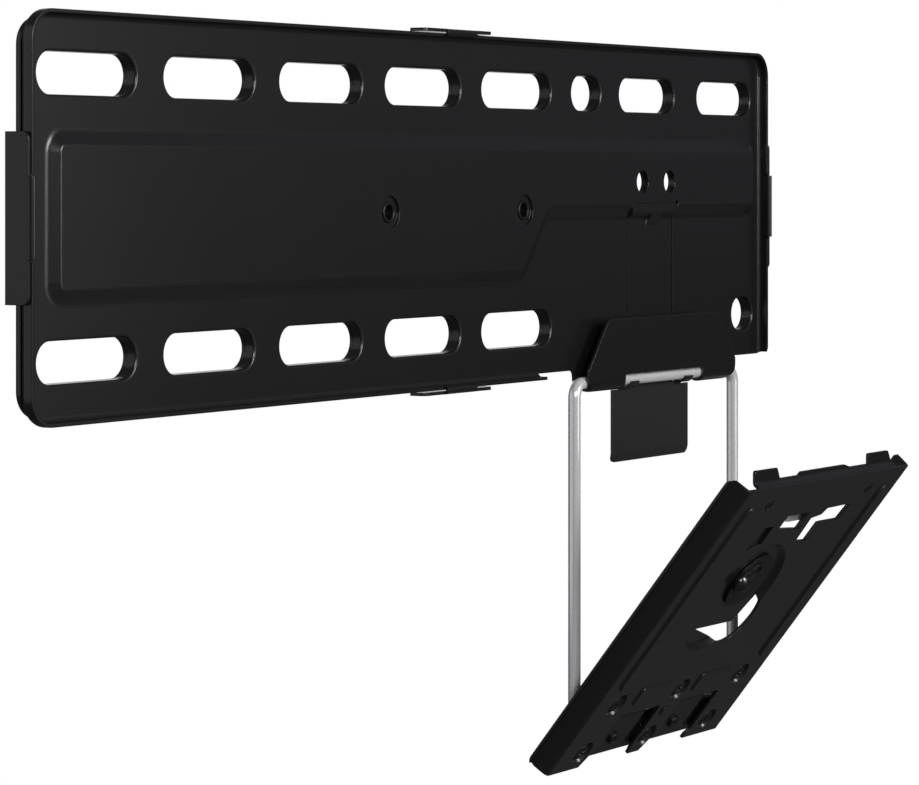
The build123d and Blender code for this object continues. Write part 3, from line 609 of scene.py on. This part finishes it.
@dataclass
class Hardware:
    """The small turned pieces of the bracket.

    Attributes:
        paint: Where their materials come from.
    """

    paint: Paintwork

    def bail(self) -> None:
        """The wire bail."""
        skin = Skin("wire_loop")
        skin.grid(Bail().grid(), loop=True)
        skin.finish(self.paint, WIRE, "bail", "bail_wire")

    def screws(self) -> None:
        """Screws in the dimples and in the knuckles."""
        dimple = Screw(-1.9, 9.0, 1.5, 4.0, -6.1, (4.6, 1.0), 0.8)
        skin = Skin("dimple_screws")
        places = [(x, t) for x in DIMPLES_ACROSS for t in DIMPLES_UP]
        for number, (x, t) in enumerate(places):
            skin.grid(dimple.grid(PLATE, (x, t), radians(30.0 + 37.0 * number)))
        skin.finish(self.paint, HARDWARE, "tilting_plate", "plate_screws")
        knuckle = Screw(-1.9, 7.0, 1.7, 4.0, -8.7, (3.8, 0.9), 0.9)
        skin = Skin("leaf_screws")
        for number, x in enumerate(KNUCKLES_ACROSS):
            skin.grid(knuckle.grid(PLATE, (x, KNUCKLES_UP), radians(15.0 + 50.0 * number)))
        skin.finish(self.paint, HARDWARE, "tilting_plate", "knuckle_screws")

    def eyelets(self) -> None:
        """Tubular rivets that tie the trays, with rolled rims."""
        skin = Skin("rolled_eyelets")
        rim = [(3.2, -6.5), (3.2, 1.9), *arc((4.0, 1.8), 0.8, 180.0, 0.0, 13), (4.0, 1.8),
               (4.0, 0.3), (5.2, 0.3), (5.2, -5.0), (4.0, -5.0), (4.0, -6.5)]
        for x in EYELETS_ACROSS:
            skin.grid(turned(WALL, (x, 0.0), rim), loop=True)
        skin.finish(self.paint, HARDWARE, "wall_plate", "tie_eyelets")

    def rivets(self) -> None:
        """Rivets of the stiffener, with a dimple in front and a low head behind."""
        skin = Skin("formed_rivets")
        form = [(0.0, -0.3), (1.0, -0.28), (1.5, -0.12), *arc((2.35, -0.05), 0.3, 150.0, 20.0, 7),
                (3.0, -0.2), (3.0, -2.7), (4.3, -2.7), (4.3, -3.05),
                *arc((3.75, -3.05), 0.55, 0.0, -90.0, 7), (0.0, -3.6)]
        for x in RIVETS_ACROSS:
            skin.grid(turned(PLATE, (x, RIVETS_UP), form))
        skin.finish(self.paint, HARDWARE, "tilting_plate", "stiffener_rivets")

    def stud(self) -> None:
        """Domed stud of the turn knob.

        The dome is part of a sphere whose radius is the sum of the squares of the dome's radius
        and rise, over twice the rise.
        """
        base, radius, rise, shank, end = -0.05, 5.2, 3.8, 2.0, -2.1
        sphere = (radius ** 2 + rise ** 2) / (2 * rise)
        reach = degrees(asin(radius / sphere))
        dome = arc((0.0, base + rise - sphere), sphere, 90.0, 90.0 - reach, 26)
        skin = Skin("bright_stud")
        skin.grid(turned(PLATE, STUD_AT, [*dome, (shank, base), (shank, end), (0.0, end)]))
        skin.finish(self.paint, SHADED_STUD, "knob", "knob_stud")

    def nuts(self) -> None:
        """Hexagon nuts with chamfered corners and a bore.

        The radius of a hexagon at the angle a is its half width over the cosine of the angle from
        the middle of the nearest flat. The profile's outer radius is scaled by that.
        """
        bore, face, front, rear = 2.08, 3.3, -4.9, -7.9

        def hexagon(across: np.ndarray, up: np.ndarray,
                    out: np.ndarray) -> tuple[np.ndarray, np.ndarray, np.ndarray]:
            """Gives the round form six flats and chamfers its corners.

            Args:
                across: Distances to the right of the axis.
                up: Distances up from the axis.
                out: Heights out of the seat.

            Returns:
                The same three, changed.
            """
            radius = np.hypot(across, up)
            bend = (np.arctan2(up, across) + pi / 6) % (pi / 3) - pi / 6
            full = 3.5 / np.cos(bend)
            low = np.minimum(out - rear, front - out)
            limit = np.minimum(full, 3.55 + 1.7 * np.maximum(low, 0.0))
            scale = np.where(radius > 3.0, limit / np.maximum(radius, 0.1), 1.0)
            return across * scale, up * scale, out

        skin = Skin("hex_nuts")
        form = [(bore, front), (face, front), *((3.6, z) for z in np.linspace(front, rear, 16)),
                (face, rear), (bore, rear)]
        for x in KNUCKLES_ACROSS:
            skin.grid(turned(PLATE, (x, KNUCKLES_UP), form, 96, hexagon), loop=True)
        skin.finish(self.paint, SHADED_HINGE, "tilting_plate", "knuckle_nuts")

    def build(self) -> None:
        """Makes every piece."""
        for make in (self.bail, self.screws, self.eyelets, self.rivets, self.stud, self.nuts):
            make()


@dataclass(frozen=True)
class Lamp:
    """A soft rectangular lamp.

    Attributes:
        at: Position in metres.
        aim: Point it faces.
        size: Width and height in metres.
        bright: Radiance of its face, 1 for paper white.
    """

    at: tuple[float, float, float]
    aim: tuple[float, float, float]
    size: tuple[float, float]
    bright: float

    @property
    def power(self) -> float:
        """Power that gives the face its radiance: pi times the area times the radiance.

        Returns:
            Watts.
        """
        return pi * self.size[0] * self.size[1] * self.bright


LAMPS: dict[Glow, Lamp] = {
    Glow.LEFT: Lamp((-1.1, 0.75, 0.15), (0.15, 0.0, -0.2), (1.6, 1.4), 0.46),
    Glow.FRONT: Lamp((0.62, -1.35, 0.1), (-0.2, 0.0, 0.0), (0.7, 1.0), 0.9),
    Glow.KEY: Lamp((0.34, -1.47, 0.35), (-0.1, 0.0, 0.0), (0.4, 0.5), 17.0),
    Glow.FILL: Lamp((-0.9, -1.3, 0.5), (0.1, 0.0, -0.1), (0.5, 0.5), 16.0),
    Glow.RIGHT: Lamp((1.3, 1.0, 0.1), (0.2, 0.0, -0.2), (1.0, 1.6), 0.9),
}


@dataclass
class Studio:
    """Pale floor, soft lamps and the camera at the photograph's angle.

    Attributes:
        floor_height: Height of the floor in metres.
        floor_colour: The floor's colour for every ray but the camera's own.
        surroundings: The same for the surroundings.
        camera_at: Position of the camera.
        camera_turn: Its turn about the upright in degrees.
        lens: Focal length in millimetres on a sensor of 36 mm.
        shift: Vertical shift of the picture, as a share of its longer side.
    """

    floor_height: float = -0.42
    floor_colour: tuple[float, float, float] = (0.125, 0.125, 0.129)
    surroundings: tuple[float, float, float] = (0.098, 0.101, 0.108)
    camera_at: tuple[float, float, float] = (-1.3278, -0.8506, 0.0164)
    camera_turn: float = -57.7
    lens: float = 136.2
    shift: float = -0.2367

    def aim(self, obj: bpy.types.Object, target: Sequence[float]) -> None:
        """Turns a lamp so that it faces a point.

        Args:
            obj: The lamp.
            target: The point.
        """
        way = np.array(target, float) - np.array(obj.location)
        flat = sqrt(way[0] ** 2 + way[1] ** 2)
        obj.rotation_euler = (atan2(flat, -way[2]), 0.0, atan2(way[1], way[0]) - pi / 2)

    def lamps(self) -> None:
        """Adds the lamps."""
        for glow, lamp in LAMPS.items():
            data = bpy.data.lights.new(glow.value, "AREA")
            data.shape = "RECTANGLE"
            data.size, data.size_y = lamp.size
            data.energy = lamp.power
            obj = bpy.data.objects.new(glow.value, data)
            obj.location = lamp.at
            bpy.context.scene.collection.objects.link(obj)
            self.aim(obj, lamp.aim)
            log.info("lamp %s", glow.value)

    def floor(self) -> None:
        """Adds the floor below the hanging bracket, white for the camera alone."""
        bpy.ops.mesh.primitive_plane_add(size=40.0, location=(0.0, 0.0, self.floor_height))
        floor = bpy.context.object
        floor.name = "floor"
        graph = Graph("floor_pale")
        pale = graph.node("ShaderNodeBsdfPrincipled", Roughness=0.9)
        pale.inputs["Base Color"].default_value = (*self.floor_colour, 1.0)
        white = graph.node("ShaderNodeEmission")
        chosen = graph.node("ShaderNodeMixShader")
        graph.feed(chosen.inputs[0], graph.node("ShaderNodeLightPath").outputs["Is Camera Ray"])
        graph.feed(chosen.inputs[1], pale.outputs[0])
        graph.feed(chosen.inputs[2], white.outputs[0])
        out = graph.node("ShaderNodeOutputMaterial")
        graph.feed(out.inputs["Surface"], chosen.outputs[0])
        floor.data.materials.append(graph.material)

    def world(self) -> None:
        """Dim surroundings that light the piece, with a white ground for the camera alone."""
        world = bpy.data.worlds.new("surroundings")
        bpy.context.scene.world = world
        world.use_nodes = True
        tree = world.node_tree
        dim = tree.nodes["Background"]
        dim.inputs[0].default_value = (*self.surroundings, 1.0)
        white = tree.nodes.new("ShaderNodeBackground")
        white.inputs[0].default_value = (1.0, 1.0, 1.0, 1.0)
        chosen = tree.nodes.new("ShaderNodeMixShader")
        tree.links.new(tree.nodes.new("ShaderNodeLightPath").outputs["Is Camera Ray"],
                       chosen.inputs[0])
        tree.links.new(dim.outputs[0], chosen.inputs[1])
        tree.links.new(white.outputs[0], chosen.inputs[2])
        tree.links.new(chosen.outputs[0], tree.nodes["World Output"].inputs["Surface"])

    def camera(self) -> None:
        """Adds the camera, level, with the horizon raised by a vertical shift."""
        data = bpy.data.cameras.new("camera")
        data.sensor_width = 36.0
        data.lens = self.lens
        data.shift_y = self.shift
        obj = bpy.data.objects.new("camera", data)
        obj.location = self.camera_at
        obj.rotation_euler = (radians(90.0), 0.0, radians(self.camera_turn))
        bpy.context.scene.collection.objects.link(obj)
        bpy.context.scene.camera = obj

    def build(self) -> None:
        """Sets up the whole studio."""
        bpy.context.scene.view_settings.view_transform = "Standard"
        self.world()
        self.floor()
        self.lamps()
        self.camera()


def main() -> None:
    """Builds the picture."""
    logging.basicConfig(level=logging.INFO)
    paint = Paintwork()
    paint.paint_nodes()
    Hardware(paint).build()
    Studio().build()


if __name__ == "__main__":
    main()
